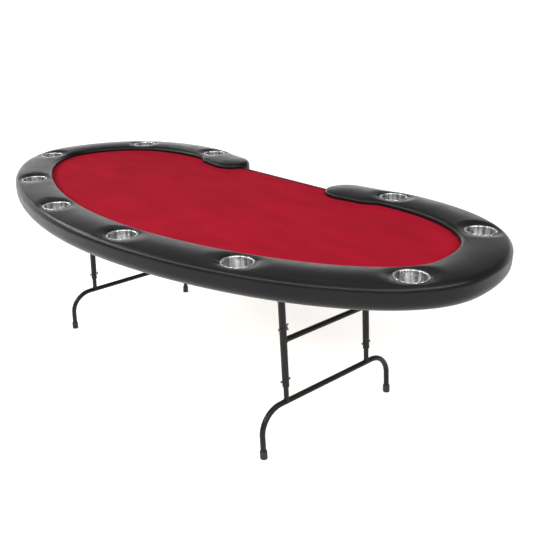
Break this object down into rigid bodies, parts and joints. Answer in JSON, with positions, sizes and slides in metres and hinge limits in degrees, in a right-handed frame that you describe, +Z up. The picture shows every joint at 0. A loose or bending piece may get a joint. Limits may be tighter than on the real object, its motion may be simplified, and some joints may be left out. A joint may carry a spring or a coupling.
{
  "type": "poker table",
  "caption": "Oval folding poker table: red felt surface, padded black rail with steel cup holders and a dealer's gap, on two folding black tube leg frames with locking stays.",
  "frame": {"origin": "on the floor, under the middle of the table top's outline", "axes": "+X along the table's length, +Y towards the dealer's side, +Z up"},
  "size_m": [2.438, 1.1602, 0.744],
  "materials": {
    "stainless": "polished stainless steel",
    "black_steel": "black powder coat, semi-gloss",
    "bracket_steel": "black powder coat, satin",
    "stay_steel": "black powder coat, satin",
    "rubber_cap": "moulded rubber",
    "dark_hardware": "black oxide steel",
    "zinc_hardware": "zinc plated steel",
    "deck_wood": "medium density fibreboard",
    "plywood": "birch plywood",
    "underlay_foam": "closed-cell foam",
    "felt": "napped speed felt",
    "edge_trim": "satin edge moulding",
    "rail_foam": "upholstery foam",
    "rail_vinyl": "smooth upholstery vinyl"
  },
  "bodies": {
    "root": {"deck_board": "deck_wood", "foam_underlay": "underlay_foam", "felt_cloth": "felt", "dealer_edge_trim": "edge_trim", "rail_ring": "plywood", "skirt": "plywood", "rail_foam": "rail_foam", "rail_cover": "rail_vinyl", "rail_bolts": "zinc_hardware", "rail_tnuts": "zinc_hardware", "deck_screws": "zinc_hardware", "storage_clips": "bracket_steel", "cup_holder_1": "stainless", "cup_holder_2": "stainless", "cup_holder_3": "stainless", "cup_holder_4": "stainless", "cup_holder_5": "stainless", "cup_holder_6": "stainless", "cup_holder_7": "stainless", "cup_holder_8": "stainless", "cup_holder_9": "stainless", "cup_holder_10": "stainless", "hinge_bracket_right_front": "bracket_steel", "hinge_bracket_right_back": "bracket_steel", "hinge_bracket_left_front": "bracket_steel", "hinge_bracket_left_back": "bracket_steel", "stay_anchors_right": "bracket_steel", "stay_anchors_left": "bracket_steel"},
    "right_leg_frame": {"pivot_tube_right": "black_steel", "upright_right_front": "black_steel", "upright_right_back": "black_steel", "crossbar_right": "black_steel", "inner_tube_right_front": "black_steel", "inner_tube_right_back": "black_steel", "foot_bar_right": "black_steel", "foot_caps_right": "rubber_cap", "lock_pins_right": "dark_hardware", "clamp_bolts_right": "dark_hardware", "wing_nuts_right": "dark_hardware", "stay_rivets_right": "dark_hardware"},
    "right_stay_upper_pair": {"stay_upper_right_front": "stay_steel", "stay_upper_right_back": "stay_steel"},
    "right_stay_lower_pair": {"stay_lower_right_front": "stay_steel", "stay_lower_right_back": "stay_steel"},
    "left_leg_frame": {"pivot_tube_left": "black_steel", "upright_left_front": "black_steel", "upright_left_back": "black_steel", "crossbar_left": "black_steel", "inner_tube_left_front": "black_steel", "inner_tube_left_back": "black_steel", "foot_bar_left": "black_steel", "foot_caps_left": "rubber_cap", "lock_pins_left": "dark_hardware", "clamp_bolts_left": "dark_hardware", "wing_nuts_left": "dark_hardware", "stay_rivets_left": "dark_hardware"},
    "left_stay_upper_pair": {"stay_upper_left_front": "stay_steel", "stay_upper_left_back": "stay_steel"},
    "left_stay_lower_pair": {"stay_lower_left_front": "stay_steel", "stay_lower_left_back": "stay_steel"}
  },
  "joints": [
    {"name": "right_leg_fold", "type": "hinge", "parent": "root", "child": "right_leg_frame", "pos_m": [0.62599, 0.0509, 0.674], "axis": [0, 1, 0], "range_deg": [0, 91.11]},
    {"name": "right_stay_upper_turn", "type": "hinge", "parent": "root", "child": "right_stay_upper_pair", "pos_m": [0.48599, 0.0509, 0.674], "axis": [0, 1, 0], "range_deg": [-42.45, 0]},
    {"name": "right_stay_lower_turn", "type": "hinge", "parent": "right_leg_frame", "child": "right_stay_lower_pair", "pos_m": [0.63602, 0.0509, 0.53436], "axis": [0, 1, 0], "range_deg": [0, 42.45]},
    {"name": "left_leg_fold", "type": "hinge", "parent": "root", "child": "left_leg_frame", "pos_m": [-0.62599, 0.0509, 0.674], "axis": [0, -1, 0], "range_deg": [0, 94.11]},
    {"name": "left_stay_upper_turn", "type": "hinge", "parent": "root", "child": "left_stay_upper_pair", "pos_m": [-0.48599, 0.0509, 0.674], "axis": [0, -1, 0], "range_deg": [-43, 0]},
    {"name": "left_stay_lower_turn", "type": "hinge", "parent": "left_leg_frame", "child": "left_stay_lower_pair", "pos_m": [-0.63602, 0.0509, 0.53436], "axis": [0, -1, 0], "range_deg": [0, 43]}
  ],
  "couplings": [
    {"joint": "right_stay_upper_turn", "follows": "right_leg_fold", "ratio": -0.46534},
    {"joint": "right_stay_lower_turn", "follows": "right_leg_fold", "ratio": 0.46534},
    {"joint": "left_stay_upper_turn", "follows": "left_leg_fold", "ratio": -0.45635},
    {"joint": "left_stay_lower_turn", "follows": "left_leg_fold", "ratio": 0.45635}
  ]
}
